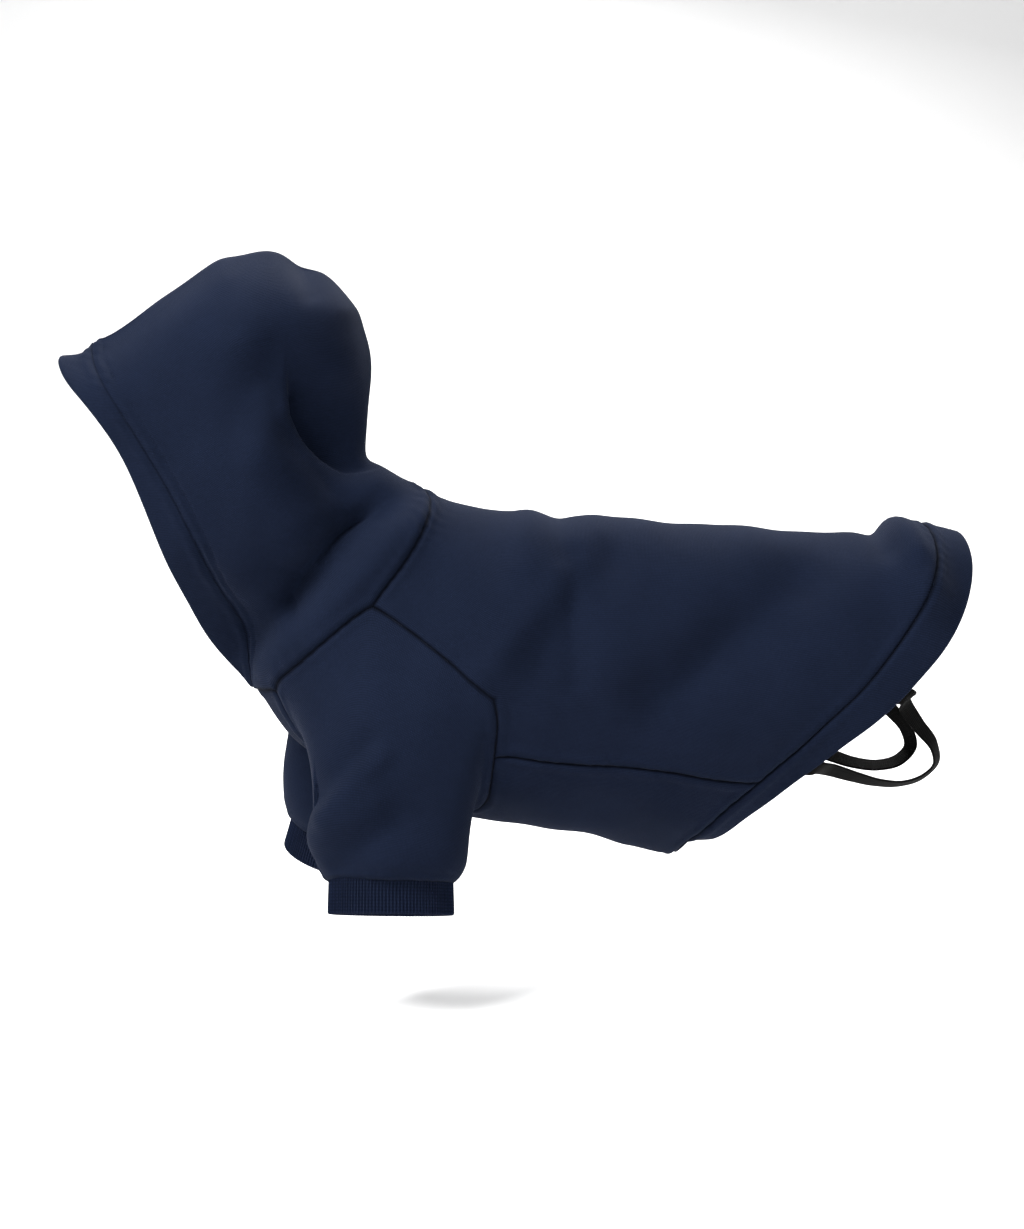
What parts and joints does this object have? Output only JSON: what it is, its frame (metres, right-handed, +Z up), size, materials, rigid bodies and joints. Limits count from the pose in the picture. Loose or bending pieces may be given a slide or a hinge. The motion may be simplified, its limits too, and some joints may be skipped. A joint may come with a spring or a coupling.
{
  "type": "dog parka",
  "caption": "Hooded pullover coat for a small dog, with raglan sleeves, ribbed cuffs, a turned hem and elastic leg loops at the rear.",
  "frame": {"origin": "the inner face of the back panel over the dog's withers, on the centre line", "axes": "+X towards the tail, +Y towards the dog's right side, +Z up"},
  "size_m": [0.4851, 0.1598, 0.3558],
  "materials": {
    "navy_cloth": "matte brushed knit",
    "navy_rib": "matte rib knit",
    "black_webbing": "matte woven elastic"
  },
  "bodies": {
    "root": {"back_panel": "navy_cloth", "belly_panel": "navy_cloth", "hem_band": "navy_cloth", "sleeve_left": "navy_cloth", "sleeve_right": "navy_cloth", "cuff_left": "navy_rib", "cuff_right": "navy_rib", "hood_left": "navy_cloth", "hood_right": "navy_cloth", "face_hem": "navy_cloth", "leg_strap_left": "black_webbing", "leg_strap_right": "black_webbing"}
  },
  "joints": []
}
